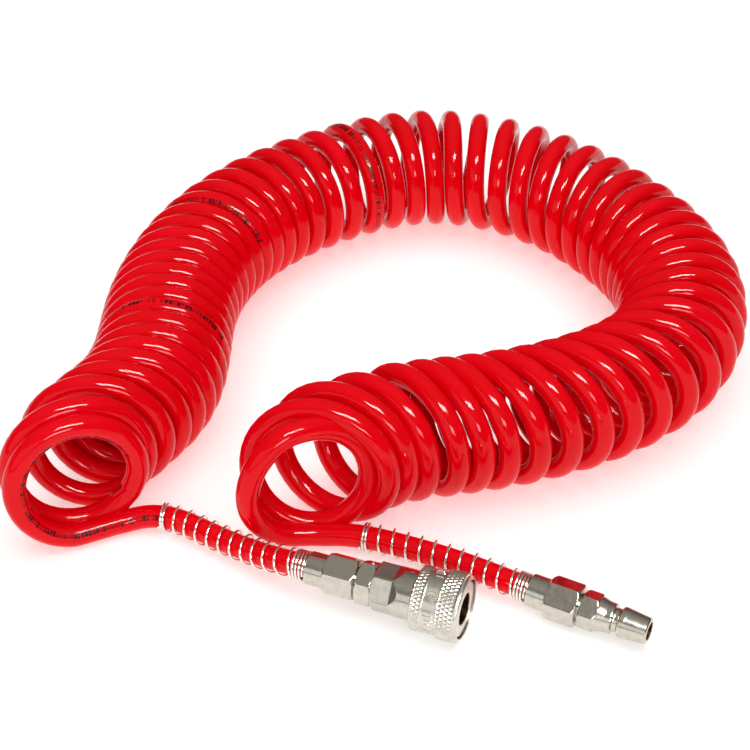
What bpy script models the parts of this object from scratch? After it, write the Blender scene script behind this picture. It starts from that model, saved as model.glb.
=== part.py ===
"""Coiled air hose: a polyurethane recoil hose with a quick-coupler socket and a plug.

The coil lies on the floor in a horseshoe with both ends at the front.  Lengths are in
millimetres and become metres when a mesh is made.  Stations along a fitting run along
its axis from 0 at its mouth, negative towards the hose.
"""
import math

import bmesh
import bpy
import numpy as np
from mathutils import Matrix, Vector

MM = 0.001
GAP = 0.3               # left between pieces that rest against each other

# ---- hose --------------------------------------------------------------------
HOSE_R = 5.0            # 10 mm tube with a 6.5 mm bore
TURN_R = 26.5           # from the coil's axis to the middle of the tube
UP = np.array([0, 0, 1.0])

# The coil's axis on the floor plan, from the socket's end round to the plug's end.
COIL_AXIS = [
    (-80, -180), (-97, -146), (-92.5, -104), (-111, -36.5), (-115, 54.5), (-90, 107), (-43, 149),
    (11.5, 150.5), (66.5, 123), (107, 79), (116.5, 15.5), (89.5, -32), (48.5, -66), (14, -92),
    (-6, -147),
]
# Turn number: millimetres along the axis, degrees by which the turn's plane is swung
# about the vertical from square to the axis, and the turn's own radius.
TURN_PLACES = [
    (-1, 12, 15, 23.5), (-0.25, 23.5, 14, 25.8), (0.5, 29, 18, 27.4), (1.25, 43.5, 25, 27),
    (2, 56, 26, TURN_R), (3, 67.5, 28, TURN_R), (5, 88.5, 13.5, TURN_R), (8, 119.5, -3, TURN_R),
    (12, 160, 2, TURN_R), (16, 205.5, 4, TURN_R), (20, 258.5, -1, TURN_R), (24, 317, -4, TURN_R),
    (28, 375, 4.5, TURN_R), (32, 436.5, 11.5, TURN_R), (36, 498, 6.5, TURN_R), (40, 551.5, 6, TURN_R),
    (43, 590, 17, TURN_R), (46, 634.5, 25, TURN_R), (49, 676, 26, TURN_R), (52, 714, 25, TURN_R),
    (54, 737, 22, TURN_R), (55, 754.5, 20, TURN_R), (56, 771, 20, 28.5), (57, 785.5, 29, 28),
    (57.8, 794.5, 57, TURN_R), (58.6, 799.5, 19, 11),
]
COIL_SPAN = (0.72, 56.95)       # turns that stay wound together
LEAD_TURNS = ((-0.72, 0.12), (58.22, 57.7))      # loose turns run on into the leads

# The run from each fitting to its end of the coil.
SOCKET_ROUTE = [
    (-2, -156.4, 12), (-16, -152.6, 9), (-40, -147, 7.3), (-57, -144.2, 6.9), (-66, -145.5, 6.3),
]
PLUG_ROUTE = [
    (81, -128.8, 8), (60.5, -125.6, 7.2), (40.5, -124.6, 6.9), (24, -125.2, 6.7), (12, -126.8, 5.6),
]
LEAD_STEP = 8.0

# ---- bend guards -------------------------------------------------------------
GUARD_WIRE_R = 0.55
GUARD_TURN_R = 6.0
GUARD_OPEN_PITCH = 6.2
GUARD_CLOSE_PITCH = 1.3
GUARD_TURNS = (4, 11, 2)        # close at the nut, open, close at the free end

# ---- fittings ----------------------------------------------------------------
SOCKET_TIP = (80.4, -158.3, 14.1)
SOCKET_TURN = 0.0               # degrees about the vertical from +X
PLUG_TIP = (149.8, -138.7, 9.1)
PLUG_TURN = -6.7

BORE_R = 6.5
BODY_R = 9.0
BALL_R = 1.75
BALL_COUNT = 6
BALL_STATION = -9.0
BALL_CENTRE_R = 7.45
BALL_TRAVEL = 0.9
SLEEVE_TRAVEL = 4.5

SOCKET_NUT = -45.7              # front of the hose nut
PLUG_NUT = -29.2
NUT_HEX = 13.3
NUT_NECK = 8.2
NUT_ACROSS = 16.0
NUT_NECK_R = 6.9
NUT_TURN_SOCKET = 23.0          # degrees from a flat at the bottom
NUT_TURN_PLUG = -20.0
ADAPTER_ACROSS = 17.0
ADAPTER_HEX_TURN = 25.0
BODY_FLAT_R = 9.0
BODY_HEX_TURN = -3.0
PLUG_ACROSS = 14.0
BARB_END = -57.5
THREAD_R = 5.6

SEGMENTS = 32


# ---- helpers -----------------------------------------------------------------
def clear_scene():
    for obj in list(bpy.data.objects):
        bpy.data.objects.remove(obj, do_unlink=True)


def material(name, colour, metallic, roughness):
    mat = bpy.data.materials.new(name)
    mat.use_nodes = True
    mat.diffuse_color = (*colour, 1.0)
    shader = mat.node_tree.nodes["Principled BSDF"]
    shader.inputs["Base Color"].default_value = (*colour, 1.0)
    shader.inputs["Metallic"].default_value = metallic
    shader.inputs["Roughness"].default_value = roughness
    return mat


def add_object(name, data, mat=None):
    obj = bpy.data.objects.new(name, data)
    bpy.context.scene.collection.objects.link(obj)
    if mat is not None:
        data.materials.clear()
        data.materials.append(mat)
    return obj


def finish_mesh(name, bm, smooth=True):
    bmesh.ops.recalc_face_normals(bm, faces=bm.faces)
    mesh = bpy.data.meshes.new(name)
    bm.to_mesh(mesh)
    bm.free()
    if smooth:
        mesh.shade_smooth()
        mesh.set_sharp_from_angle(angle=math.radians(30))
    return mesh


def turned_mesh(name, profile, segments=SEGMENTS):
    """Revolve (station, radius) points about X.  A profile that starts and ends at
    radius 0 is closed by the axis; any other is a closed loop."""
    bm = bmesh.new()
    rings = []
    for station, radius in profile:
        if radius == 0:
            rings.append([bm.verts.new((station * MM, 0, 0))] * segments)
            continue
        ring = []
        for i in range(segments):
            a = 2 * math.pi * i / segments
            place = Vector((station, radius * math.cos(a), radius * math.sin(a)))
            ring.append(bm.verts.new(place * MM))
        rings.append(ring)
    pairs = list(zip(rings, rings[1:]))
    if profile[0][1] > 0:
        pairs.append((rings[-1], rings[0]))
    for first, second in pairs:
        for i in range(segments):
            j = (i + 1) % segments
            corners = []
            for vert in (first[i], second[i], second[j], first[j]):
                if vert not in corners:
                    corners.append(vert)
            if len(corners) > 2:
                bm.faces.new(corners)
    return finish_mesh(name, bm)


def cutter(name, mesh, matrix=Matrix()):
    obj = add_object(name, mesh)
    obj.matrix_world = matrix
    obj.hide_render = True
    obj.display_type = "WIRE"
    return obj


def cut(obj, tool, operation="DIFFERENCE"):
    mod = obj.modifiers.new(tool.name, "BOOLEAN")
    mod.operation = operation
    mod.object = tool


def hex_mesh(name, across_flats, start, end, turn):
    """Hexagonal prism along X; turn is in degrees from a flat at the bottom."""
    bm = bmesh.new()
    corner = across_flats / math.sqrt(3)
    ends = []
    for station in (start, end):
        ring = []
        for i in range(6):
            a = math.radians(turn + 60 * i)
            place = Vector((station, corner * math.cos(a), corner * math.sin(a)))
            ring.append(bm.verts.new(place * MM))
        ends.append(ring)
    bm.faces.new(ends[0])
    bm.faces.new(ends[1])
    for i in range(6):
        j = (i + 1) % 6
        bm.faces.new((ends[0][i], ends[0][j], ends[1][j], ends[1][i]))
    return finish_mesh(name, bm, smooth=False)


def boxes_mesh(name, boxes):
    """Boxes given as (low corner, high corner, turn about X in degrees)."""
    bm = bmesh.new()
    for low, high, turn in boxes:
        low, high = Vector(low) * MM, Vector(high) * MM
        middle = Matrix.Translation((low + high) / 2)
        size = Matrix.Diagonal((*(high - low), 1))
        swing = Matrix.Rotation(math.radians(turn), 4, "X")
        bmesh.ops.create_cube(bm, size=1, matrix=swing @ middle @ size)
    return finish_mesh(name, bm, smooth=False)


def fitting_matrix(tip, turn):
    return Matrix.Translation(Vector(tip) * MM) @ Matrix.Rotation(math.radians(turn), 4, "Z")


# ---- routes ------------------------------------------------------------------
def spline(knots, values):
    """Natural cubic through values at knots; returns a function of an array."""
    x = np.asarray(knots, float)
    y = np.asarray(values, float).reshape(len(x), -1)
    h = np.diff(x)[:, None]
    slope = np.diff(y, axis=0) / h
    system = np.eye(len(x))
    right = np.zeros_like(y)
    for i in range(1, len(x) - 1):
        system[i, i - 1:i + 2] = h[i - 1, 0], 2 * (h[i - 1, 0] + h[i, 0]), h[i, 0]
        right[i] = 6 * (slope[i] - slope[i - 1])
    bend = np.linalg.solve(system, right)

    def value(t):
        t = np.atleast_1d(np.asarray(t, float))
        i = np.clip(np.searchsorted(x, t) - 1, 0, len(x) - 2)
        a, b, width = (x[i + 1] - t)[:, None], (t - x[i])[:, None], h[i]
        return ((bend[i] * a**3 + bend[i + 1] * b**3) / (6 * width)
                + (y[i] / width - bend[i] * width / 6) * a
                + (y[i + 1] / width - bend[i + 1] * width / 6) * b)
    return value


def along(points):
    """Distance along a polyline at each of its points."""
    steps = np.linalg.norm(np.diff(points, axis=0), axis=1)
    return np.concatenate([[0], np.cumsum(steps)])


def coil_frames(turns):
    """Centre, sideways unit vector and radius of the coil at each turn number."""
    axis_points = np.array(COIL_AXIS, float)
    axis = spline(along(axis_points), axis_points)
    numbers, places, swings, radii = np.array(TURN_PLACES, float).T
    station = spline(numbers, places)(turns)[:, 0]
    swing = np.radians(spline(numbers, swings)(turns)[:, 0])
    centre = axis(station)
    forward = axis(station + 0.5) - axis(station - 0.5)
    angle = np.arctan2(forward[:, 1], forward[:, 0]) + swing
    zero = np.zeros(len(station))
    side = np.stack([np.sin(angle), -np.cos(angle), zero], axis=1)
    radius = np.interp(turns, numbers, radii)
    middle = np.column_stack([centre, radius + HOSE_R])
    return middle, side, radius[:, None]


def coil_points(turns):
    middle, side, radius = coil_frames(turns)
    angle = -2 * math.pi * turns[:, None]
    return middle + radius * (np.cos(angle) * side + np.sin(angle) * UP)


def even_points(points, step):
    """Points about step apart along the smooth curve through the given ones."""
    points = np.asarray(points, float)
    curve = spline(along(points), points)
    fine = curve(np.linspace(0, along(points)[-1], 2000))
    length = along(fine)
    wanted = np.linspace(0, length[-1], int(round(length[-1] / step)) + 1)
    return np.stack([np.interp(wanted, length, fine[:, k]) for k in range(3)], axis=1)


def lead_points(straight, route, turns):
    """A fitting's straight entry, its hand-set route, then the coil's loose last turn."""
    points = even_points(np.vstack([straight, route, coil_points(turns)]), LEAD_STEP)
    points[:, 2] = np.maximum(points[:, 2], HOSE_R)
    return points


def tube(name, points, radius, mat, resolution=2):
    curve = bpy.data.curves.new(name, "CURVE")
    curve.dimensions = "3D"
    curve.bevel_depth = radius * MM
    curve.bevel_resolution = resolution
    curve.use_fill_caps = True
    line = curve.splines.new("POLY")
    line.points.add(len(points) - 1)
    for point, place in zip(line.points, points):
        point.co = (*(Vector(place) * MM), 1)
    return add_object(name, curve, mat)


# ---- hose --------------------------------------------------------------------
def build_coil(mat):
    """The wound part as one fat tube, each section in the plane of its turn."""
    turns = np.linspace(*COIL_SPAN, 46)
    middle, side, radius = coil_frames(turns)
    sides = 20
    bm = bmesh.new()
    rings = []
    for centre, across, inside in zip(middle, side, radius):
        reach = (inside[0] + HOSE_R) / math.cos(math.pi / sides)
        ring = []
        for i in range(sides):
            a = 2 * math.pi * (i + 0.5) / sides
            place = centre + reach * (math.cos(a) * across + math.sin(a) * UP)
            ring.append(bm.verts.new(Vector(place) * MM))
        rings.append(ring)
    for first, second in zip(rings, rings[1:]):
        for i in range(sides):
            j = (i + 1) % sides
            bm.faces.new((first[i], second[i], second[j], first[j]))
    bm.faces.new(rings[0])
    bm.faces.new(rings[-1])
    return add_object("hose_coil", finish_mesh("hose_coil", bm), mat)


def fitting_points(tip, turn, stations):
    place = fitting_matrix(tip, turn)
    return [tuple(place @ Vector((s * MM, 0, 0)) / MM) for s in stations]


def build_leads(mat):
    start = BARB_END - GAP
    socket_in = fitting_points(SOCKET_TIP, SOCKET_TURN, (start, start - 6, start - 12))
    turns = np.arange(*LEAD_TURNS[0], 1 / 16)
    socket_line = lead_points(socket_in, SOCKET_ROUTE, turns)
    start = PLUG_NUT + BARB_END - SOCKET_NUT - GAP
    plug_in = fitting_points(PLUG_TIP, PLUG_TURN, (start, start - 6, start - 12))
    turns = np.arange(*LEAD_TURNS[1], -1 / 16)
    plug_line = lead_points(plug_in, PLUG_ROUTE, turns)
    tube("hose_lead_socket", socket_line, HOSE_R, mat)
    tube("hose_lead_plug", plug_line, HOSE_R, mat)
    return socket_line, plug_line


def wire_helix(route, radius, pitches, steps):
    """Points of a helix round a route; pitches lists (turn count, pitch) from its start."""
    length = along(route)
    turns = [0.0]
    places = [0.0]
    for count, pitch in pitches:
        turns.append(turns[-1] + count)
        places.append(places[-1] + count * pitch)
    numbers = np.arange(0, turns[-1] + 1e-6, 1 / steps)
    stations = np.interp(numbers, turns, places)
    middle = np.stack([np.interp(stations, length, route[:, k]) for k in range(3)], axis=1)
    ahead = np.stack([np.interp(stations + 1, length, route[:, k]) for k in range(3)], axis=1)
    forward = (ahead - middle) / np.linalg.norm(ahead - middle, axis=1)[:, None]
    side = np.cross(forward, (0, 0, 1.0))
    side /= np.linalg.norm(side, axis=1)[:, None]
    up = np.cross(side, forward)
    angle = -2 * math.pi * numbers[:, None]
    return middle + radius * (np.cos(angle) * side + np.sin(angle) * up)


def build_guard(name, lead, nut_end, mat):
    """Wire spring round the lead, tight against the end of the hose nut."""
    first, open_turns, last = GUARD_TURNS
    start = BARB_END - nut_end + GUARD_WIRE_R
    fine = even_points(lead, 0.5)
    length = along(fine)
    route = fine[length >= start]
    pitches = ((first, GUARD_CLOSE_PITCH), (open_turns, GUARD_OPEN_PITCH), (last, GUARD_CLOSE_PITCH))
    tube(name, wire_helix(route, GUARD_TURN_R, pitches, 12), GUARD_WIRE_R, mat, resolution=0)


def straight_spring(name, start, end, radius, wire_r, turns, steps, mat, matrix):
    """Compression spring along X between two stations."""
    points = []
    count = int(turns * steps)
    for i in range(count + 1):
        a = 2 * math.pi * i / steps
        station = start + (end - start) * i / count
        points.append((station, radius * math.cos(a), radius * math.sin(a)))
    obj = tube(name, points, wire_r, mat, resolution=0)
    obj.matrix_world = matrix


# ---- pieces both fittings share -----------------------------------------------
def build_hose_nut(name, front, turn, mat, matrix):
    """Hexagon nut with a plain neck, screwed over the hose's end."""
    corner = NUT_ACROSS / math.sqrt(3)
    back = -NUT_HEX - NUT_NECK
    profile = [
        (0, corner - 0.8), (-0.6, corner), (0.6 - NUT_HEX, corner), (-NUT_HEX, corner - 0.8),
        (-NUT_HEX, NUT_NECK_R), (back + 0.4, NUT_NECK_R), (back, NUT_NECK_R - 0.4),
        (back, HOSE_R + 0.35), (-8.8, HOSE_R + 0.35), (-7.8, THREAD_R + GAP), (0, THREAD_R + GAP),
    ]
    place = matrix @ Matrix.Translation((front * MM, 0, 0))
    nut = add_object(name, turned_mesh(name, profile), mat)
    nut.matrix_world = place
    prism = hex_mesh(name + "_flats", NUT_ACROSS, 1, back - 1, turn)
    cut(nut, cutter(name + "_flats", prism, place), "INTERSECT")


# ---- socket --------------------------------------------------------------------
def build_socket_body(mat, matrix):
    profile = [
        (-2.6, 6.9), (-2.6, 8.8), (-2.8, BODY_R), (-3.1, BODY_R), (-3.1, 8.2), (-4.7, 8.2), (-4.7, BODY_R),
        (-19.8, BODY_R), (-19.8, 10.3), (-37.2, 10.3), (-37.6, 9.8), (-37.6, 8.2), (-36.4, 8.2),
        (-36.4, 6.6), (-25.0, 6.6), (-25.0, 4.6), (-23.3, 4.6), (-23.3, BORE_R),
        (-19.4, BORE_R), (-19.4, 7.7), (-17.0, 7.7), (-17.0, BORE_R), (-3.0, BORE_R),
    ]
    body = add_object("socket_body", turned_mesh("socket_body", profile), mat)
    body.matrix_world = matrix
    flats = []
    for i in range(6):
        flats.append(((-40, -5.1, BODY_FLAT_R), (-28.5, 5.1, BODY_FLAT_R + 3), 60 * i + BODY_HEX_TURN))
    cut(body, cutter("body_flats", boxes_mesh("body_flats", flats), matrix))
    for i in range(BALL_COUNT):
        hole = turned_mesh("ball_hole", [(5.5, 0), (5.5, 1.68), (9.6, 2.2), (9.6, 0)], 12)
        cut(body, cutter(f"ball_hole_{i + 1}", hole, ball_matrix(matrix, i)))


def ball_matrix(matrix, index):
    """X of this frame points outward along one ball's hole, from the fitting's axis."""
    spoke = Matrix.Rotation(math.radians(30 + 60 * index), 4, "X") @ Matrix.Rotation(-math.pi / 2, 4, "Y")
    return matrix @ Matrix.Translation((BALL_STATION * MM, 0, 0)) @ spoke


def build_balls(mat, matrix):
    bm = bmesh.new()
    bmesh.ops.create_uvsphere(bm, u_segments=12, v_segments=8, radius=BALL_R * MM)
    mesh = finish_mesh("lock_ball", bm)
    for i in range(BALL_COUNT):
        ball = add_object(f"lock_ball_{i + 1}", mesh, mat)
        ball.matrix_world = ball_matrix(matrix, i) @ Matrix.Translation((BALL_CENTRE_R * MM, 0, 0))


def build_sleeve(mat, matrix):
    """Release sleeve.  Its inner ramp keeps its distance from the balls as it slides."""
    ramp = BALL_TRAVEL / SLEEVE_TRAVEL
    land = BALL_CENTRE_R + BALL_R + GAP
    mouth = BALL_STATION + SLEEVE_TRAVEL - 0.2
    profile = [
        (0, 12.0), (0, 12.9), (-0.6, 13.5), (-1.4, 13.5), (-1.8, 14.1), (-8.6, 14.1), (-9.0, 13.0),
        (-15.0, 13.0), (-15.4, 13.3), (-19.4, 13.3), (-20.2, 12.3), (-20.2, 10.7), (-10.9, 10.7),
        (-10.9, 9.35), (BALL_STATION - 0.6, 9.35), (BALL_STATION - 0.3, land - 0.06),
        (mouth, land + ramp * (mouth - BALL_STATION)), (mouth, 12.0),
    ]
    sleeve = add_object("socket_sleeve", turned_mesh("socket_sleeve", profile), mat)
    sleeve.matrix_world = matrix


def build_snap_ring(mat, matrix):
    """Flat open ring in the body's front groove; the sleeve stops against it."""
    profile = [(-3.4, 8.5), (-3.4, 11.5), (-4.4, 11.5), (-4.4, 8.5)]
    ring = add_object("sleeve_snap_ring", turned_mesh("sleeve_snap_ring", profile), mat)
    ring.matrix_world = matrix
    slot = boxes_mesh("ring_gap", [((-6, -1.5, 0), (-2, 1.5, 14), 15)])
    cut(ring, cutter("ring_gap", slot, matrix))


def ring_piece(name, start, end, inner, outer, mat, matrix, chamfer=0.3):
    profile = [
        (start - chamfer, inner), (start, inner + chamfer),
        (start, outer - chamfer), (start - chamfer, outer),
        (end + chamfer, outer), (end, outer - chamfer),
        (end, inner + chamfer), (end + chamfer, inner),
    ]
    obj = add_object(name, turned_mesh(name, profile, 24), mat)
    obj.matrix_world = matrix


def build_poppet(mat, matrix):
    """Shut-off valve: a slotted pusher in front of a disc, and a stem inside its spring."""
    profile = [
        (-24.6, 0), (-24.6, 3.0), (-20.2, 3.0), (-20.2, 4.3), (-26.6, 4.3), (-26.6, 5.8), (-27.9, 5.8),
        (-27.9, 2.0), (-31.5, 2.0), (-31.5, 0),
    ]
    poppet = add_object("valve_poppet", turned_mesh("valve_poppet", profile, 24), mat)
    poppet.matrix_world = matrix
    slots = [((-24.2, -0.9, -5), (-21.6, 0.9, 5), turn) for turn in (0, 90)]
    for i, slot in enumerate(slots):
        name = f"poppet_slot_{i + 1}"
        cut(poppet, cutter(name, boxes_mesh(name, [slot]), matrix))


def build_adapter(mat, matrix):
    """Hexagon with a thread into the body, a thread for the hose nut and a hose barb."""
    corner = ADAPTER_ACROSS / math.sqrt(3)
    profile = [
        (-34.2, 2.6), (-34.2, 5.9), (-34.6, 6.3), (-37.9, 6.3), (-37.9, corner - 0.7), (-38.4, corner),
        (-44.1, corner), (-44.6, corner - 0.7), (-44.6, THREAD_R), (-52.0, THREAD_R), (-52.0, 3.3),
        (BARB_END, 3.3), (BARB_END, 2.6),
    ]
    adapter = add_object("socket_adapter", turned_mesh("socket_adapter", profile), mat)
    adapter.matrix_world = matrix
    prism = hex_mesh("adapter_flats", ADAPTER_ACROSS, -30, -60, ADAPTER_HEX_TURN)
    cut(adapter, cutter("adapter_flats", prism, matrix), "INTERSECT")


def build_socket(metal, brass, steel, rubber):
    matrix = fitting_matrix(SOCKET_TIP, SOCKET_TURN)
    build_socket_body(metal, matrix)
    build_balls(steel, matrix)
    build_sleeve(metal, matrix)
    build_snap_ring(steel, matrix)
    ring_piece("socket_seal", -17.3, -19.1, 5.7, 7.4, rubber, matrix, 0.5)
    build_poppet(brass, matrix)
    ring_piece("valve_seal", -25.3, -26.3, 4.65, 5.7, rubber, matrix, 0.2)
    straight_spring("sleeve_spring", -11.7, -19.0, 9.85, 0.4, 3.75, 16, steel, matrix)
    straight_spring("valve_spring", -28.6, -33.5, 3.6, 0.35, 3.5, 12, steel, matrix)
    ring_piece("adapter_gasket", -36.7, -37.6, 6.6, 7.9, rubber, matrix, 0.2)
    build_adapter(metal, matrix)
    build_hose_nut("socket_hose_nut", SOCKET_NUT, NUT_TURN_SOCKET, metal, matrix)


# ---- plug ----------------------------------------------------------------------
def build_plug(metal):
    matrix = fitting_matrix(PLUG_TIP, PLUG_TURN)
    corner = PLUG_ACROSS / math.sqrt(3)
    barb = PLUG_NUT + BARB_END - SOCKET_NUT
    thread = barb + 5.5
    profile = [
        (0, 3.9), (0, 4.9), (-0.5, 5.4), (-9.3, 6.35), (-11.6, 6.35), (-12.4, 5.0), (-14.1, 5.0),
        (-14.8, 6.35), (-17.4, 6.35), (-20.4, 7.2), (-20.9, 7.2), (-21.4, corner), (-27.7, corner),
        (-28.1, corner - 0.6), (-28.1, THREAD_R), (thread, THREAD_R), (thread, 3.3), (barb, 3.3),
        (barb, 2.6), (-18.0, 2.6), (-16.8, 3.75), (-0.2, 3.75),
    ]
    plug = add_object("plug_body", turned_mesh("plug_body", profile), metal)
    plug.matrix_world = matrix
    prism = hex_mesh("plug_flats", PLUG_ACROSS, 1, barb - 1, NUT_TURN_PLUG)
    cut(plug, cutter("plug_flats", prism, matrix), "INTERSECT")
    build_hose_nut("plug_hose_nut", PLUG_NUT, NUT_TURN_PLUG, metal, matrix)


def main():
    clear_scene()
    red = material("hose", (0.80, 0.01, 0.02), 0.0, 0.15)
    metal = material("nickel", (0.72, 0.69, 0.63), 1.0, 0.25)
    brass = material("brass", (0.72, 0.50, 0.25), 1.0, 0.35)
    steel = material("spring_steel", (0.78, 0.76, 0.72), 1.0, 0.20)
    rubber = material("seal", (0.02, 0.02, 0.02), 0.0, 0.60)
    build_coil(red)
    socket_lead, plug_lead = build_leads(red)
    build_socket(metal, brass, steel, rubber)
    build_plug(metal)
    neck_end = NUT_HEX + NUT_NECK
    build_guard("socket_spring_guard", socket_lead, SOCKET_NUT - neck_end, steel)
    build_guard("plug_spring_guard", plug_lead, SOCKET_NUT - neck_end, steel)


main()
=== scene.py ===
"""Coiled air hose: the visual model, light and camera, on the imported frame.

Lengths are in millimetres and become metres when a mesh is made.  A station runs along
a fitting's axis from 0 at its mouth, negative towards the hose.
"""
import math

import bpy
import numpy as np
from mathutils import Matrix, Vector


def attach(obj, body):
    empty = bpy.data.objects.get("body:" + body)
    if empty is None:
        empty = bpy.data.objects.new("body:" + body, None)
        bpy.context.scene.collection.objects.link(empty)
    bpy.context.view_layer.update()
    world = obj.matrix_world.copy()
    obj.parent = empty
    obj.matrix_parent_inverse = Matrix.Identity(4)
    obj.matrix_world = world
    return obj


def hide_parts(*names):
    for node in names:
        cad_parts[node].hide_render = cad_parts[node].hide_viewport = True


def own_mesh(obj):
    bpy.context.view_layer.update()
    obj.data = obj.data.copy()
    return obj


MM = 0.001
UP = np.array([0, 0, 1.0])

# ---- the hose, as in part.py ---------------------------------------------------
HOSE_R = 5.0
TURN_R = 26.5
COIL_AXIS = [
    (-80, -180), (-97, -146), (-92.5, -104), (-111, -36.5), (-115, 54.5), (-90, 107), (-43, 149),
    (11.5, 150.5), (66.5, 123), (107, 79), (116.5, 15.5), (89.5, -32), (48.5, -66), (14, -92),
    (-6, -147),
]
TURN_PLACES = [
    (-1, 12, 15, 23.5), (-0.25, 23.5, 14, 25.8), (0.5, 29, 18, 27.4), (1.25, 43.5, 25, 27),
    (2, 56, 26, TURN_R), (3, 67.5, 28, TURN_R), (5, 88.5, 13.5, TURN_R), (8, 119.5, -3, TURN_R),
    (12, 160, 2, TURN_R), (16, 205.5, 4, TURN_R), (20, 258.5, -1, TURN_R), (24, 317, -4, TURN_R),
    (28, 375, 4.5, TURN_R), (32, 436.5, 11.5, TURN_R), (36, 498, 6.5, TURN_R), (40, 551.5, 6, TURN_R),
    (43, 590, 17, TURN_R), (46, 634.5, 25, TURN_R), (49, 676, 26, TURN_R), (52, 714, 25, TURN_R),
    (54, 737, 22, TURN_R), (55, 754.5, 20, TURN_R), (56, 771, 20, 28.5), (57, 785.5, 29, 28),
    (57.8, 794.5, 57, TURN_R), (58.6, 799.5, 19, 11),
]
LEAD_TURNS = ((-0.72, 0.12), (58.22, 57.7))
SOCKET_ROUTE = [
    (-2, -156.4, 12), (-16, -152.6, 9), (-40, -147, 7.3), (-57, -144.2, 6.9), (-66, -145.5, 6.3),
]
PLUG_ROUTE = [
    (81, -128.8, 8), (60.5, -125.6, 7.2), (40.5, -124.6, 6.9), (24, -125.2, 6.7), (12, -126.8, 5.6),
]
GUARD_WIRE_R = 0.55
GUARD_TURN_R = 6.0
GUARD_OPEN_PITCH = 6.2
GUARD_CLOSE_PITCH = 1.3
GUARD_TURNS = (4, 11, 2)     # close at the nut, open, close at the free end

# ---- fittings, as in part.py ---------------------------------------------------
SOCKET_TIP = (80.4, -158.3, 14.1)
PLUG_TIP = (149.8, -138.7, 9.1)
PLUG_TURN = -6.7
SOCKET_NUT = -45.7
PLUG_NUT = -29.2
NUT_HEX = 13.3
NUT_NECK = 8.2
NUT_NECK_R = 6.9
BARB_END = -57.5
THREAD_R = 5.6
BORE_R = 2.6                 # air passage through barbs and adapter
BARB_R = 3.3
HOSE_GAP = 0.3               # between a barb's end and the hose
SLEEVE_SHOULDER = -4.7       # rear end of the sleeve's wide mouth
BALL_LAND_R = 9.5            # sleeve's bore over the balls

# ---- camera --------------------------------------------------------------------
CAMERA = (218.1, -608.1, 464.1)
AIM = (-18.0, -5.5, 0.0)
LENS = 78.4
FLOOR_HALF = 40              # metres

# ---- print on the hose ---------------------------------------------------------
# Each stretch: first and last turn, then the degrees round the tube from the coil's
# outside at both.
PRINTS = [
    (-0.95, -0.03, 122, 128), (7.6, 7.95, 0, 20), (16.6, 16.95, 55, 55), (23.6, 24.1, 30, 0),
]
PRINT_CELL = 1.6             # room for one mark along the hose

# ---- colours; a bore's row is the radius that it starts at and its colour, painted shade ---
NICKEL = (0.60, 0.565, 0.495)
KNURL_NICKEL = (0.66, 0.63, 0.56)
# the body's and the small parts' bore colours are brass brown darkened by painted shade
BODY_BORE_BRASS_AND_SHADE = (6.75, (0.24, 0.13, 0.085))
SMALL_BORE_BRASS_AND_SHADE = (3.9, (0.5, 0.29, 0.13))
# the sleeve's bore colour is its own nickel darkened: painted shade inside the sleeve
SLEEVE_BORE_SHADE = (12.06, (0.36, 0.33, 0.28))


# ---- routes --------------------------------------------------------------------
def spline(knots, values):
    """Natural cubic through values at knots; returns a function of an array."""
    x = np.asarray(knots, float)
    y = np.asarray(values, float).reshape(len(x), -1)
    h = np.diff(x)[:, None]
    slope = np.diff(y, axis=0) / h
    system = np.eye(len(x))
    right = np.zeros_like(y)
    for i in range(1, len(x) - 1):
        system[i, i - 1:i + 2] = h[i - 1, 0], 2 * (h[i - 1, 0] + h[i, 0]), h[i, 0]
        right[i] = 6 * (slope[i] - slope[i - 1])
    bend = np.linalg.solve(system, right)

    def value(t):
        t = np.atleast_1d(np.asarray(t, float))
        i = np.clip(np.searchsorted(x, t) - 1, 0, len(x) - 2)
        a, b, width = (x[i + 1] - t)[:, None], (t - x[i])[:, None], h[i]
        return ((bend[i] * a**3 + bend[i + 1] * b**3) / (6 * width)
                + (y[i] / width - bend[i] * width / 6) * a
                + (y[i + 1] / width - bend[i + 1] * width / 6) * b)
    return value


def along(points):
    steps = np.linalg.norm(np.diff(points, axis=0), axis=1)
    return np.concatenate([[0], np.cumsum(steps)])


def coil_frames(turns):
    """Centre, sideways unit vector and radius of the coil at each turn number."""
    axis_points = np.array(COIL_AXIS, float)
    axis = spline(along(axis_points), axis_points)
    numbers, places, swings, radii = np.array(TURN_PLACES, float).T
    station = spline(numbers, places)(turns)[:, 0]
    swing = np.radians(spline(numbers, swings)(turns)[:, 0])
    centre = axis(station)
    forward = axis(station + 0.5) - axis(station - 0.5)
    angle = np.arctan2(forward[:, 1], forward[:, 0]) + swing
    zero = np.zeros(len(station))
    side = np.stack([np.sin(angle), -np.cos(angle), zero], axis=1)
    radius = np.interp(turns, numbers, radii)
    middle = np.column_stack([centre, radius + HOSE_R])
    return middle, side, radius[:, None]


def coil_points(turns):
    middle, side, radius = coil_frames(turns)
    angle = -2 * math.pi * turns[:, None]
    return middle + radius * (np.cos(angle) * side + np.sin(angle) * UP)


def even_points(points, step):
    """Points about step apart along the smooth curve through the given ones."""
    points = np.asarray(points, float)
    curve = spline(along(points), points)
    fine = curve(np.linspace(0, along(points)[-1], 4000))
    length = along(fine)
    wanted = np.linspace(0, length[-1], int(round(length[-1] / step)) + 1)
    return np.stack([np.interp(wanted, length, fine[:, k]) for k in range(3)], axis=1)


def fitting_matrix(tip, turn):
    return Matrix.Translation(Vector(tip) * MM) @ Matrix.Rotation(math.radians(turn), 4, "Z")


def fitting_points(tip, turn, stations):
    place = fitting_matrix(tip, turn)
    return [tuple(place @ Vector((s * MM, 0, 0)) / MM) for s in stations]


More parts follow.
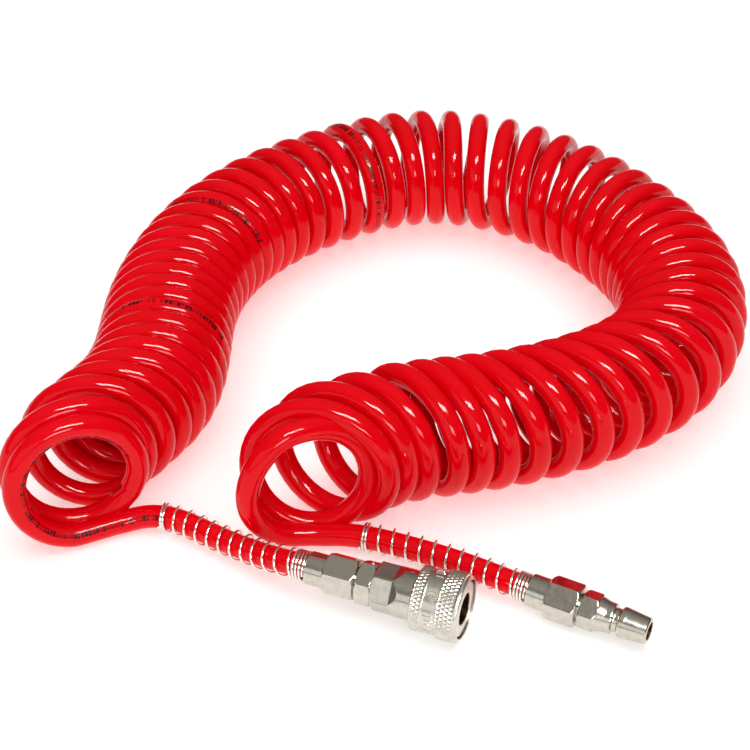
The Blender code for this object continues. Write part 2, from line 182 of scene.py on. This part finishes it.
def lead_points(tip, turn, start, route, turns):
    """A fitting's straight entry, its given route, then the coil's loose last turn."""
    straight = fitting_points(tip, turn, (start, start - 6, start - 12))
    turns = np.arange(turns[0], turns[1], math.copysign(1 / 16, turns[1] - turns[0]))
    points = even_points(np.vstack([straight, route, coil_points(turns)]), 1.0)
    points[:, 2] = np.maximum(points[:, 2], HOSE_R)
    return points, turns[-1]


def hose_points():
    """Centreline of the whole hose, its turn numbers, and both leads."""
    start = BARB_END - HOSE_GAP
    first, low = lead_points(SOCKET_TIP, 0, start, SOCKET_ROUTE, LEAD_TURNS[0])
    start = PLUG_NUT + BARB_END - SOCKET_NUT - HOSE_GAP
    last, high = lead_points(PLUG_TIP, PLUG_TURN, start, PLUG_ROUTE, LEAD_TURNS[1])
    turns = np.arange(low, high, 1 / 40)[2:-1]
    per_turn = 2 * math.pi * TURN_R
    before = low - (along(first)[-1] - along(first)) / per_turn
    after = high + along(last[::-1]) / per_turn
    points = np.vstack([first, coil_points(turns), last[::-1]])
    return points, np.concatenate([before, turns, after]), first, last


def smooth_rows(values, passes):
    for _ in range(passes):
        values[1:-1] = (values[:-2] + 2 * values[1:-1] + values[2:]) / 4
    return values


def tube_frames(points, numbers):
    """Tangent, outward and sideways unit vectors at each point of the hose."""
    tangent = np.gradient(points, axis=0)
    tangent /= np.linalg.norm(tangent, axis=1)[:, None]
    low, high = LEAD_TURNS[0][0], LEAD_TURNS[1][0]
    middle = coil_frames(np.clip(numbers, low, high))[0]
    outward = points - middle
    loose = (numbers < low) | (numbers > high)
    outward[loose] = -UP
    outward /= np.linalg.norm(outward, axis=1)[:, None]
    outward = smooth_rows(outward, 6)
    outward -= tangent * np.sum(outward * tangent, axis=1)[:, None]
    outward /= np.linalg.norm(outward, axis=1)[:, None]
    return tangent, outward, np.cross(tangent, outward)


# ---- meshes --------------------------------------------------------------------
def grid_mesh(name, rings, closed=False, caps=False):
    """Mesh through rings of points (rows x columns x 3, in mm); closed joins the last row
    to the first."""
    rows, columns = rings.shape[:2]
    count = rows if closed else rows - 1
    i, j = np.meshgrid(np.arange(count), np.arange(columns), indexing="ij")
    k = (i + 1) % rows
    n = (j + 1) % columns
    quads = np.stack([i * columns + j, k * columns + j, k * columns + n, i * columns + n], axis=-1)
    faces = quads.reshape(-1, 4).tolist()
    if caps:
        faces.append(list(range(columns)))
        faces.append(list(range((rows - 1) * columns, rows * columns))[::-1])
    mesh = bpy.data.meshes.new(name)
    mesh.from_pydata((rings.reshape(-1, 3) * MM).tolist(), [], faces)
    mesh.validate()
    return mesh


def add_piece(name, data, mat, body, slot, *nodes, matrix=Matrix(), sharp=32):
    obj = bpy.data.objects.new(name, data)
    bpy.context.scene.collection.objects.link(obj)
    obj.matrix_world = matrix
    data.materials.append(mat)
    if isinstance(data, bpy.types.Mesh):
        data.shade_smooth()
        if sharp:
            data.set_sharp_from_angle(angle=math.radians(sharp))
    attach(obj, body)
    if nodes:
        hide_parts(*nodes)
    return obj


def turned(name, profile, segments=144, start=0.0, limit=None, relief=None):
    """Revolve (station, radius) rows about X.  limit(angle, station) caps the radius, for
    flats; relief(angle, station, row) adds to it, for knurls."""
    stations = np.array([p[0] for p in profile], float)
    radii = np.array([p[1] for p in profile], float)
    angle = start + 2 * math.pi * np.arange(segments) / segments
    a, x = np.meshgrid(angle, stations)
    r = np.repeat(radii[:, None], segments, axis=1)
    if relief is not None:
        r = r + relief(a, x, r)
    if limit is not None:
        r = np.minimum(r, limit(a, x))
    rings = np.stack([x, r * np.cos(a), r * np.sin(a)], axis=-1)
    return grid_mesh(name, rings[:, ::-1], closed=True)


def rows_between(profile, step):
    """The profile with extra points so that none are further apart than step."""
    out = []
    for first, second in zip(profile, profile[1:]):
        count = max(1, math.ceil(math.dist(first, second) / step))
        for i in range(count):
            t = i / count
            out.append((first[0] + t * (second[0] - first[0]), first[1] + t * (second[1] - first[1])))
    out.append(profile[-1])
    return out


def hexagon(across, turn, corner_r=None, run_out=None):
    """Radius limit for hexagonal flats; run_out is (station, slope) past which they rise."""
    def limit(a, x):
        flat = across / 2 + 0 * x
        if run_out:
            flat = flat + run_out[1] * np.maximum(0, x - run_out[0])
        turned_by = (a - turn + math.pi / 6) % (math.pi / 3) - math.pi / 6
        radius = flat / np.cos(turned_by)
        return radius if corner_r is None else np.minimum(radius, corner_r)
    return limit


def flat_turn(degrees):
    """Angle of a flat's middle, given in degrees from a flat on top."""
    return math.radians(degrees + 90)


def wire(name, points, radius, mat, body, slot, *nodes):
    curve = bpy.data.curves.new(name, "CURVE")
    curve.dimensions = "3D"
    curve.bevel_depth = radius * MM
    curve.bevel_resolution = 3
    curve.use_fill_caps = True
    line = curve.splines.new("POLY")
    line.points.add(len(points) - 1)
    for point, place in zip(line.points, points):
        point.co = (*(Vector(place) * MM), 1)
    line.use_smooth = True
    return add_piece(name, curve, mat, body, slot, *nodes)


def wire_helix(route, radius, pitches, steps, start):
    """Points of a wire wound round route from start on; pitches are (turns, pitch) rows."""
    length = along(route)
    turns = [0.0]
    places = [start]
    for count, pitch in pitches:
        turns.append(turns[-1] + count)
        places.append(places[-1] + count * pitch)
    numbers = np.arange(0, turns[-1] + 1e-6, 1 / steps)
    stations = np.interp(numbers, turns, places)
    middle = np.stack([np.interp(stations, length, route[:, k]) for k in range(3)], axis=1)
    ahead = np.stack([np.interp(stations + 1, length, route[:, k]) for k in range(3)], axis=1)
    forward = (ahead - middle) / np.linalg.norm(ahead - middle, axis=1)[:, None]
    side = np.cross(forward, UP)
    side /= np.linalg.norm(side, axis=1)[:, None]
    up = np.cross(side, forward)
    angle = math.pi - 2 * math.pi * numbers[:, None]
    return middle + radius * (np.cos(angle) * side + np.sin(angle) * up)


# ---- materials -----------------------------------------------------------------
class Nodes:
    """Short calls for building one material's node tree."""

    def __init__(self, name):
        self.mat = bpy.data.materials.new(name)
        self.mat.use_nodes = True
        self.tree = self.mat.node_tree
        self.shader = self.tree.nodes["Principled BSDF"]

    def set(self, **values):
        for key, value in values.items():
            self.shader.inputs[key.replace("_", " ")].default_value = value

    def node(self, kind, links=(), **settings):
        made = self.tree.nodes.new(kind)
        for key, value in settings.items():
            if hasattr(made, key):
                setattr(made, key, value)
            else:
                made.inputs[key.replace("_", " ")].default_value = value
        for key, source in dict(links).items():
            self.tree.links.new(source, made.inputs[key])
        return made

    def math(self, operation, first, second=None):
        made = self.tree.nodes.new("ShaderNodeMath")
        made.operation = operation
        for socket, value in zip(made.inputs, (first, second)):
            if value is None:
                continue
            if isinstance(value, (int, float)):
                socket.default_value = value
            else:
                self.tree.links.new(value, socket)
        return made.outputs[0]

    def remap(self, value, low, high, to_low, to_high):
        made = self.node("ShaderNodeMapRange", {"Value": value})
        numbers = {"From Min": low, "From Max": high, "To Min": to_low, "To Max": to_high}
        for key, number in numbers.items():
            made.inputs[key].default_value = number
        return made.outputs[0]

    def mix(self, factor, first, second):
        made = self.tree.nodes.new("ShaderNodeMix")
        made.data_type = "RGBA"
        for index, value in ((0, factor), (6, first), (7, second)):
            if isinstance(value, (int, float)):
                made.inputs[index].default_value = value
            elif isinstance(value, tuple):
                made.inputs[index].default_value = (*value, 1)
            else:
                self.tree.links.new(value, made.inputs[index])
        return made.outputs[2]

    def noise(self, scale, detail=2.0, vector=None, roughness=0.5):
        links = {"Vector": vector} if vector is not None else {}
        made = self.node("ShaderNodeTexNoise", links)
        made.inputs["Scale"].default_value = scale
        made.inputs["Detail"].default_value = detail
        made.inputs["Roughness"].default_value = roughness
        return made.outputs[0]

    def bump(self, height, distance, strength):
        made = self.node("ShaderNodeBump", {"Height": height})
        made.inputs["Distance"].default_value = distance
        made.inputs["Strength"].default_value = strength
        return made.outputs[0]

    def link(self, socket, value):
        self.tree.links.new(value, self.shader.inputs[socket])


def hose_material():
    """Glossy red polyurethane with faint draw lines and a worn print of plain dashes."""
    n = Nodes("hose_red")
    place = n.node("ShaderNodeTexCoord").outputs["Object"]
    uv = n.node("ShaderNodeUVMap", uv_map="along")
    split = n.node("ShaderNodeSeparateXYZ", {"Vector": uv.outputs[0]})
    length, round_it = split.outputs[0], split.outputs[1]
    print_at = n.node("ShaderNodeAttribute", attribute_name="print_place").outputs["Fac"]
    cloud = n.noise(35.0, 3.0, place)
    red = n.mix(n.remap(cloud, 0.35, 0.65, 0, 1), (0.80, 0.0, 0.004), (0.86, 0.0, 0.008))
    cells = n.math("MULTIPLY", length, 1 / PRINT_CELL)
    cell = n.math("FLOOR", cells)
    inside = n.math("FRACT", cells)
    lot = n.node("ShaderNodeTexWhiteNoise", noise_dimensions="1D")
    n.tree.links.new(cell, lot.inputs["W"])
    pick = lot.outputs["Value"]
    bar = n.math("LESS_THAN", inside, n.remap(pick, 0, 1, 0.5, 0.88))
    tall = n.remap(pick, 0, 1, 0.9, 1.35)
    band = n.math("LESS_THAN", n.math("ABSOLUTE", print_at), tall)
    hollow = n.math("GREATER_THAN", n.math("ABSOLUTE", n.math("SUBTRACT", print_at, 0.1)), 0.28)
    wear = n.math("GREATER_THAN", n.noise(900.0, 2.0, place), 0.36)
    spare = n.math("GREATER_THAN", pick, 0.07)
    mark = n.math("MULTIPLY", n.math("MULTIPLY", bar, band), n.math("MULTIPLY", wear, spare))
    mark = n.math("MULTIPLY", mark, n.math("MAXIMUM", hollow, n.math("GREATER_THAN", pick, 0.6)))
    n.link("Base Color", n.mix(n.math("MULTIPLY", mark, 0.96), red, (0.03, 0.0, 0.004)))
    fine = n.noise(260.0, 2.0, place)
    gloss = n.remap(fine, 0.3, 0.7, 0.05, 0.09)
    n.link("Roughness", n.math("ADD", gloss, n.math("MULTIPLY", mark, 0.25)))
    lines = n.node("ShaderNodeCombineXYZ")
    n.tree.links.new(n.math("MULTIPLY", length, 0.01), lines.inputs[0])
    n.tree.links.new(n.math("MULTIPLY", round_it, 40.0), lines.inputs[1])
    draw = n.noise(1.0, 1.0, lines.outputs[0])
    ripple = n.noise(90.0, 1.0, place)
    height = n.math("ADD", n.math("MULTIPLY", draw, 0.25), ripple)
    n.link("Normal", n.bump(height, 0.00012, 0.35))
    n.set(Specular_IOR_Level=0.17, IOR=1.5)
    return n.mat


def nickel_material(name, colour, rough, bore_shade, ring_bump=0.3):
    """Plated metal: turned lines round X, a soft mottle and fine scratches.  The fourth argument
    is the radius about X within which it takes a darker colour, painted shade in the bore, and that
    colour."""
    bore, inside = bore_shade
    n = Nodes(name)
    place = n.node("ShaderNodeTexCoord").outputs["Object"]
    split = n.node("ShaderNodeSeparateXYZ", {"Vector": place})
    mottle = n.noise(420.0, 4.0, place, 0.6)
    dark = tuple(c * 0.86 for c in colour)
    plate = n.mix(n.remap(mottle, 0.35, 0.65, 0, 1), colour, dark)
    flat = n.node("ShaderNodeCombineXYZ", {"Y": split.outputs[1], "Z": split.outputs[2]})
    reach = n.node("ShaderNodeVectorMath", {0: flat.outputs[0]}, operation="LENGTH").outputs["Value"]
    outside_bore_shade = n.remap(reach, (bore - 0.05) * MM, (bore + 0.1) * MM, 0, 1)
    # inside the bore radius the plate takes the darker colour: painted shade in the bore
    n.link("Base Color", n.mix(outside_bore_shade, inside, plate))
    stretch = n.node("ShaderNodeMapping", {"Vector": place})
    stretch.inputs["Scale"].default_value = (0.25, 1, 1)
    scratch = n.noise(2600.0, 2.0, stretch.outputs[0])
    n.link("Roughness", n.math("ADD", n.remap(mottle, 0.3, 0.7, rough * 0.75, rough * 1.25),
                               n.remap(scratch, 0.4, 0.7, 0, 0.05)))
    lines = n.node("ShaderNodeTexNoise", noise_dimensions="1D")
    n.tree.links.new(split.outputs[0], lines.inputs["W"])
    lines.inputs["Scale"].default_value = 5200.0
    lines.inputs["Detail"].default_value = 1.0
    dents = n.noise(240.0, 2.0, place)
    height = n.math("ADD", n.math("MULTIPLY", lines.outputs[0], 0.35), dents)
    n.link("Normal", n.bump(height, 0.00003, ring_bump))
    n.set(Metallic=1.0)
    return n.mat


def wire_material():
    """Bright drawn spring wire."""
    n = Nodes("guard_wire")
    place = n.node("ShaderNodeTexCoord").outputs["Object"]
    mottle = n.noise(900.0, 3.0, place)
    spots = n.remap(mottle, 0.35, 0.65, 0, 1)
    n.link("Base Color", n.mix(spots, (0.92, 0.89, 0.84), (0.74, 0.71, 0.66)))
    n.link("Roughness", n.remap(mottle, 0.3, 0.7, 0.1, 0.24))
    n.link("Normal", n.bump(n.noise(3000.0, 1.0, place), 0.00001, 0.4))
    n.set(Metallic=1.0)
    return n.mat


def brass_material():
    """Dull brass of the valve poppet."""
    n = Nodes("valve_brass")
    place = n.node("ShaderNodeTexCoord").outputs["Object"]
    mottle = n.noise(500.0, 3.0, place)
    spots = n.remap(mottle, 0.35, 0.65, 0, 1)
    n.link("Base Color", n.mix(spots, (0.62, 0.42, 0.19), (0.42, 0.27, 0.12)))
    n.link("Roughness", n.remap(mottle, 0.3, 0.7, 0.28, 0.45))
    n.link("Normal", n.bump(n.noise(2400.0, 2.0, place), 0.00002, 0.5))
    n.set(Metallic=1.0)
    return n.mat


def rubber_material():
    """Black seal rubber."""
    n = Nodes("seal_rubber")
    place = n.node("ShaderNodeTexCoord").outputs["Object"]
    grain = n.noise(1800.0, 3.0, place)
    n.link("Base Color", n.mix(grain, (0.012, 0.012, 0.013), (0.04, 0.038, 0.036)))
    n.link("Roughness", n.remap(grain, 0.3, 0.7, 0.42, 0.62))
    n.link("Normal", n.bump(grain, 0.00003, 0.6))
    return n.mat


def floor_material():
    """Matt white that glows a little, more so far out where the lights don't reach."""
    n = Nodes("floor_white")
    place = n.node("ShaderNodeTexCoord").outputs["Object"]
    reach = n.node("ShaderNodeVectorMath", {0: place}, operation="LENGTH").outputs["Value"]
    near = n.mix(n.noise(3.0, 2.0, place), (0.80, 0.80, 0.80), (0.82, 0.82, 0.82))
    n.link("Base Color", near)
    n.link("Emission Strength", n.remap(reach, 0.6, 2.6, 0.45, 0.8))
    n.set(Roughness=0.7, Specular_IOR_Level=0.1)
    n.shader.inputs["Emission Color"].default_value = (1, 0.99, 0.98, 1)
    return n.mat


# ---- pieces --------------------------------------------------------------------
def print_places(numbers, angles):
    """Signed distance in mm round the tube from the print line; large where there is none."""
    out = np.full((len(numbers), len(angles)), 50.0)
    for first, last, start, end in PRINTS:
        rows = (numbers >= first) & (numbers <= last)
        line = np.radians(np.interp(numbers[rows], (first, last), (start, end)))[:, None]
        out[rows] = ((angles[None] - line + math.pi) % (2 * math.pi) - math.pi) * HOSE_R
    return out


def build_hose(mat):
    """The whole hose as one tube, from barb to barb, with its print places and its UVs."""
    points, numbers, socket_lead, plug_lead = hose_points()
    tangent, outward, across = tube_frames(points, numbers)
    sides = 20
    angles = 2 * math.pi * np.arange(sides) / sides
    circle = (np.cos(angles)[None, :, None] * outward[:, None]
              + np.sin(angles)[None, :, None] * across[:, None])
    rings = points[:, None] + HOSE_R * circle
    rings[:, :, 2] = np.maximum(rings[:, :, 2], 0.02)
    mesh = grid_mesh("air_hose", rings, caps=True)
    length = along(points)
    columns = len(angles)
    place = print_places(numbers, angles).reshape(-1)
    store = mesh.attributes.new("print_place", "FLOAT", "POINT")
    store.data.foreach_set("value", place)
    layer = mesh.uv_layers.new(name="along")
    corners = np.empty(len(mesh.loops), dtype=int)
    mesh.loops.foreach_get("vertex_index", corners)
    u = length[corners // columns]
    v = (corners % columns) / columns
    starts = np.empty(len(mesh.polygons), dtype=int)
    mesh.polygons.foreach_get("loop_start", starts)
    totals = np.empty(len(mesh.polygons), dtype=int)
    mesh.polygons.foreach_get("loop_total", totals)
    low = np.minimum.reduceat(v, starts)
    high = np.maximum.reduceat(v, starts)
    wraps = np.repeat((high - low > 0.5) & (totals == 4), totals)
    v[wraps & (v < 0.5)] += 1
    layer.data.foreach_set("uv", np.stack([u, v], axis=1).reshape(-1))
    hose = add_piece("air_hose", mesh, mat, "hose", "hose",
                     "hose_coil", "hose_lead_socket", "hose_lead_plug", sharp=0)
    return socket_lead, plug_lead


def build_guard(name, lead, mat):
    """Bend guard: close turns against the nut, open turns, then close turns again."""
    first, open_turns, last = GUARD_TURNS
    start = BARB_END - (SOCKET_NUT - NUT_HEX - NUT_NECK) + GUARD_WIRE_R - 0.25
    pitches = (
        (first, GUARD_CLOSE_PITCH), (open_turns, GUARD_OPEN_PITCH), (last, GUARD_CLOSE_PITCH),
    )
    points = wire_helix(lead, GUARD_TURN_R, pitches, 28, start)
    points[:, 2] = np.maximum(points[:, 2], GUARD_WIRE_R)
    wire(name + "_wire", points, GUARD_WIRE_R, mat, "hose", "spring_steel", name)


def build_hose_nut(node, front, turn, mat, matrix):
    """Hexagonal hose nut with a round neck; turn sets its flats."""
    corner = 9.16
    back = -NUT_HEX - NUT_NECK
    profile = [
        (0, THREAD_R + 0.3), (0, 8.1), (-0.25, 8.45), (-1.0, corner), (0.9 - NUT_HEX, corner),
        (-NUT_HEX + 0.2, 8.3), (-NUT_HEX, 8.0), (-NUT_HEX, NUT_NECK_R + 0.25),
        (-NUT_HEX - 0.25, NUT_NECK_R), (back + 0.4, NUT_NECK_R), (back, NUT_NECK_R - 0.4),
        (back, HOSE_R + 0.35), (-8.8, HOSE_R + 0.35), (-7.8, THREAD_R + 0.3), (0, THREAD_R + 0.3),
    ]
    rows = rows_between(profile, 0.3)[:-1]
    limit = hexagon(16.0, flat_turn(turn), corner)
    mesh = turned(node + "_detail", rows, 144, flat_turn(turn), limit)
    add_piece(node + "_detail", mesh, mat, "hose", "nickel", node,
              matrix=matrix @ Matrix.Translation((front * MM, 0, 0)))


def build_adapter(mat, matrix):
    """Socket adapter: spigot, hexagon, thread and barb."""
    corner = 9.75
    profile = [
        (-34.2, BORE_R), (-34.2, 5.9), (-34.6, 6.3), (-37.9, 6.3), (-37.9, 8.6), (-38.1, 8.9),
        (-38.7, corner), (-43.8, corner), (-44.4, 8.9), (-44.6, 8.6), (-44.6, THREAD_R),
        (-52.0, THREAD_R), (-52.0, BARB_R), (BARB_END, BARB_R), (BARB_END, BORE_R), (-34.2, BORE_R),
    ]
    rows = rows_between(profile, 0.3)[:-1]
    limit = hexagon(17.0, flat_turn(25), corner)
    mesh = turned("socket_adapter_detail", rows, 144, flat_turn(25), limit)
    add_piece("socket_adapter_detail", mesh, mat, "hose", "nickel", "socket_adapter", matrix=matrix)


def build_body(mat, matrix):
    """Socket body: wide nose, snap ring groove, and flats that run out in a curve."""
    profile = [
        (-0.6, 6.9), (-0.6, 11.2), (-0.8, 11.4), (-2.4, 11.4), (-2.6, 9.0), (-3.1, 9.0), (-3.1, 8.2),
        (-4.7, 8.2), (-4.7, 9.0),
        (-19.8, 9.0), (-19.8, 10.1), (-20.0, 10.3), (-37.0, 10.3), (-37.4, 9.95), (-37.6, 9.6),
        (-37.6, 8.2), (-36.4, 8.2), (-36.4, 6.6), (-25.0, 6.6), (-25.0, 4.6), (-23.3, 4.6),
        (-23.3, 6.5), (-19.4, 6.5), (-19.4, 7.7), (-17.0, 7.7), (-17.0, 6.5), (-1.0, 6.5), (-0.6, 6.9),
    ]
    rows = rows_between(profile, 0.25)[:-1]
    flats = hexagon(18.0, flat_turn(-3), run_out=(-29.5, 0.4))

    def limit(a, x):
        return np.where(x < -20, flats(a, x), 99)

    mesh = turned("socket_body_detail", rows, 180, flat_turn(-3), limit)
    add_piece("socket_body_detail", mesh, mat, "hose", "nickel", "socket_body", matrix=matrix)


def knurl(count, pitch, depth, low, high):
    """Diamond knurl between two stations, fading out at both ends."""
    def relief(a, x, r):
        first = (a * count / (2 * math.pi) + x / pitch) % 1.0
        second = (a * count / (2 * math.pi) - x / pitch) % 1.0
        groove = np.minimum(np.minimum(first, 1 - first), np.minimum(second, 1 - second))
        ridge = np.minimum(1, 3.2 * groove)
        fade = np.clip((x - low) / 0.25, 0, 1) * np.clip((high - x) / 0.25, 0, 1)
        return -depth * (1 - ridge) * fade * (r > 12.5)
    return relief


def raised_dashes(a, x, r):
    """Plain raised bars round the band between the knurls."""
    place = a / (2 * math.pi) * 40
    cell = np.floor(place)
    part = place - cell
    kind = (cell * 7 + np.floor(cell / 3) * 5) % 5
    height = np.where(kind == 0, 0.9, np.where(kind == 1, 1.9, 1.6))
    middle = -12.0 + np.where(kind == 3, 0.5, np.where(kind == 4, -0.5, 0.0))
    bar = (part > 0.3) & (part < np.where(kind == 1, 0.55, 0.75)) & (np.abs(x - middle) < height)
    groups = (cell % 13) < 10
    return 0.34 * (bar & groups & (r > 12.5) & (kind != 2))


def build_sleeve(mat, matrix):
    """Release sleeve: two knurled bands with a marked one between them."""
    front = knurl(52, 3.5, 0.34, -8.5, -1.9)
    rear = knurl(50, 3.4, 0.3, -19.3, -15.5)
    profile = [
        (SLEEVE_SHOULDER, 12.0), (0, 12.0), (0, 12.7), (-0.2, 13.1), (-0.6, 13.4), (-1.35, 13.5),
        (-1.6, 13.9), (-1.8, 14.1), (-8.6, 14.1), (-8.8, 13.9), (-9.0, 13.05), (-9.2, 13.0),
        (-14.8, 13.0), (-15.1, 13.1), (-15.3, 13.3), (-19.4, 13.3), (-19.7, 13.1), (-20.2, 12.3),
        (-20.2, 10.7), (-10.9, 10.7), (-10.9, 9.35), (-9.6, 9.35), (-9.3, BALL_LAND_R - 0.06),
        (SLEEVE_SHOULDER, BALL_LAND_R + 0.86), (SLEEVE_SHOULDER, 12.0),
    ]
    rows = rows_between(profile, 0.21)[:-1]

    def relief(a, x, r):
        return front(a, x, r) + rear(a, x, r) + raised_dashes(a, x, r)

    mesh = turned("socket_sleeve_detail", rows, 416, 0, None, relief)
    add_piece("socket_sleeve_detail", mesh, mat, "sleeve", "nickel", "socket_sleeve",
              matrix=matrix, sharp=38)


def build_plug(mat, matrix):
    """Plug: nose, locking groove, collar, hexagon, thread and barb."""
    corner = 8.02
    barb = PLUG_NUT + BARB_END - SOCKET_NUT
    thread = barb + 5.5
    profile = [
        (0, 3.9), (0, 4.7), (-0.2, 5.1), (-0.6, 5.42), (-9.2, 6.3), (-9.5, 6.38), (-11.4, 6.38),
        (-11.8, 6.1), (-12.4, 5.1), (-12.7, 5.0), (-13.9, 5.0), (-14.2, 5.15), (-14.7, 6.2),
        (-15.0, 6.35), (-17.3, 6.4), (-20.3, 7.15), (-20.9, 7.2), (-21.1, 7.3), (-21.7, corner),
        (-27.4, corner), (-27.9, 7.5), (-28.1, 7.2), (-28.1, THREAD_R), (thread, THREAD_R),
        (thread, BARB_R), (barb, BARB_R), (barb, BORE_R), (-18.0, BORE_R), (-16.8, 3.75),
        (-0.2, 3.75), (0, 3.9),
    ]
    rows = rows_between(profile, 0.3)[:-1]
    hexes = hexagon(14.0, flat_turn(-20), corner)

    def limit(a, x):
        return np.where(x < -20.95, hexes(a, x), 99)

    mesh = turned("plug_detail", rows, 144, flat_turn(-20), limit)
    add_piece("plug_detail", mesh, mat, "hose", "nickel", "plug_body", matrix=matrix)


def build_spring(node, first, last, radius, wire_r, turns, mat, matrix):
    """A coil spring with ground ends; its turns close up towards both ends."""
    steps = int(turns * 32)
    t = np.linspace(0, 1, steps + 1)
    flat = np.clip(np.minimum(t, 1 - t) * turns / 0.75, 0, 1)
    travel = np.cumsum(0.12 + flat)
    station = first + (last - first) * (travel - travel[0]) / (travel[-1] - travel[0])
    angle = 2 * math.pi * turns * t
    centre = np.stack([station, radius * np.cos(angle), radius * np.sin(angle)], axis=1)
    outward = np.stack([0 * t, np.cos(angle), np.sin(angle)], axis=1)
    ahead = np.gradient(centre, axis=0)
    ahead /= np.linalg.norm(ahead, axis=1)[:, None]
    aside = np.cross(ahead, outward)
    sides = 2 * math.pi * np.arange(10) / 10
    rings = centre[:, None] + wire_r * (np.cos(sides)[None, :, None] * outward[:, None]
                                        + np.sin(sides)[None, :, None] * aside[:, None])
    mesh = grid_mesh(node + "_wire", rings, caps=True)
    piece = add_piece(node + "_wire", mesh, mat, "hose", "spring_steel", node, matrix=matrix)
    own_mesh(piece)


def dress_frame_nodes(steel, rubber, brass):
    """Small CAD pieces that stay get the detailed materials."""
    looks = {
        "adapter_gasket": rubber, "socket_seal": rubber, "valve_seal": rubber,
        "valve_poppet": brass, "sleeve_snap_ring": steel,
    }
    for i in range(6):
        looks[f"lock_ball_{i + 1}"] = steel
    for node, mat in looks.items():
        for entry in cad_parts[node].material_slots:
            entry.material = mat


# ---- stage ---------------------------------------------------------------------
def area_light(name, place, aim, size, power, colour=(1, 1, 1), glossy=True, diffuse=True):
    """glossy=False keeps it out of reflections, diffuse=False makes only a reflection."""
    light = bpy.data.lights.new(name, "AREA")
    light.shape = "RECTANGLE"
    light.size, light.size_y = size
    light.energy = power
    light.color = colour
    obj = bpy.data.objects.new(name, light)
    bpy.context.scene.collection.objects.link(obj)
    obj.location = place
    obj.rotation_euler = (Vector(aim) - Vector(place)).to_track_quat("-Z", "Y").to_euler()
    obj.visible_glossy = glossy
    obj.visible_diffuse = diffuse


def build_stage():
    """Plain white floor, a soft grey world and five lights."""
    mesh = bpy.data.meshes.new("floor")
    corners = [(x * FLOOR_HALF, y * FLOOR_HALF, 0) for x, y in ((-1, -1), (1, -1), (1, 1), (-1, 1))]
    mesh.from_pydata(corners, [], [(0, 1, 2, 3)])
    floor = bpy.data.objects.new("floor", mesh)
    bpy.context.scene.collection.objects.link(floor)
    floor.location = (0, 0, -0.0002)
    mesh.materials.append(floor_material())
    world = bpy.data.worlds.new("studio")
    bpy.context.scene.world = world
    world.use_nodes = True
    tree = world.node_tree
    back = tree.nodes["Background"]
    place = tree.nodes.new("ShaderNodeTexCoord")
    split = tree.nodes.new("ShaderNodeSeparateXYZ")
    ramp = tree.nodes.new("ShaderNodeValToRGB")
    tree.links.new(place.outputs["Generated"], split.inputs[0])
    tree.links.new(split.outputs[2], ramp.inputs[0])
    tree.links.new(ramp.outputs[0], back.inputs[0])
    ramp.color_ramp.elements[0].position = 0.0
    ramp.color_ramp.elements[0].color = (0.10, 0.10, 0.10, 1)
    ramp.color_ramp.elements[1].position = 1.0
    ramp.color_ramp.elements[1].color = (0.38, 0.37, 0.34, 1)
    middle = ramp.color_ramp.elements.new(0.45)
    middle.color = (0.12, 0.12, 0.12, 1)
    back.inputs[1].default_value = 1.0
    origin = (0, 0, 0)
    area_light("overhead", (0, 0.1, 1.7), origin, (2.6, 2.6), 27, glossy=False)
    area_light("front_fill", (0.5, -1.7, 1.1), origin, (1.8, 1.2), 13, glossy=False)
    area_light("window", (0.54, -0.67, 1.23), origin, (0.8, 0.3), 42, (1, 0.97, 0.9),
               diffuse=False)
    area_light("low_pane", (0.75, -1.25, 0.52), origin, (0.5, 0.3), 9, (1, 0.9, 0.93),
               diffuse=False)
    area_light("card", (-0.32, -1.42, 0.48), (0.045, -0.158, 0.014), (1.6, 0.7), 3.3,
               diffuse=False)


def build_camera():
    data = bpy.data.cameras.new("camera")
    data.lens = LENS
    data.sensor_width = 36
    camera = bpy.data.objects.new("camera", data)
    bpy.context.scene.collection.objects.link(camera)
    camera.location = Vector(CAMERA) * MM
    camera.rotation_euler = ((Vector(AIM) - Vector(CAMERA)) * MM).to_track_quat("-Z", "Y").to_euler()
    data.clip_start = 0.01
    bpy.context.scene.camera = camera
    bpy.context.scene.view_settings.view_transform = "Standard"


def main():
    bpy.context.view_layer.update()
    build_camera()
    build_stage()
    nickel = nickel_material("nickel_plate", NICKEL, 0.17, BODY_BORE_BRASS_AND_SHADE)
    small = nickel_material("nickel_small", NICKEL, 0.17, SMALL_BORE_BRASS_AND_SHADE)
    bright = nickel_material("nickel_knurled", KNURL_NICKEL, 0.26, SLEEVE_BORE_SHADE, ring_bump=0.15)
    steel = wire_material()
    socket_lead, plug_lead = hose_points()[2:]
    build_guard("socket_spring_guard", socket_lead, steel)
    build_guard("plug_spring_guard", plug_lead, steel)
    socket = fitting_matrix(SOCKET_TIP, 0)
    plug = fitting_matrix(PLUG_TIP, PLUG_TURN)
    build_hose_nut("socket_hose_nut", SOCKET_NUT, 23, small, socket)
    build_hose_nut("plug_hose_nut", PLUG_NUT, -20, small, plug)
    build_adapter(small, socket)
    build_body(nickel, socket)
    build_sleeve(bright, socket)
    build_plug(small, plug)
    build_spring("sleeve_spring", -11.7, -19.0, 9.85, 0.4, 3.75, steel, socket)
    build_spring("valve_spring", -28.6, -33.5, 3.6, 0.35, 3.5, steel, socket)
    build_hose(hose_material())
    dress_frame_nodes(steel, rubber_material(), brass_material())


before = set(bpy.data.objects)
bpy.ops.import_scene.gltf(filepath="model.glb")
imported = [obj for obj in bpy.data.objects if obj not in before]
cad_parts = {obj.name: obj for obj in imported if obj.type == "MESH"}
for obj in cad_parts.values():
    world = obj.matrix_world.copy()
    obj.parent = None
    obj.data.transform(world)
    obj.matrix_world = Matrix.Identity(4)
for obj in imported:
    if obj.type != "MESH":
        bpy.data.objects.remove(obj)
main()
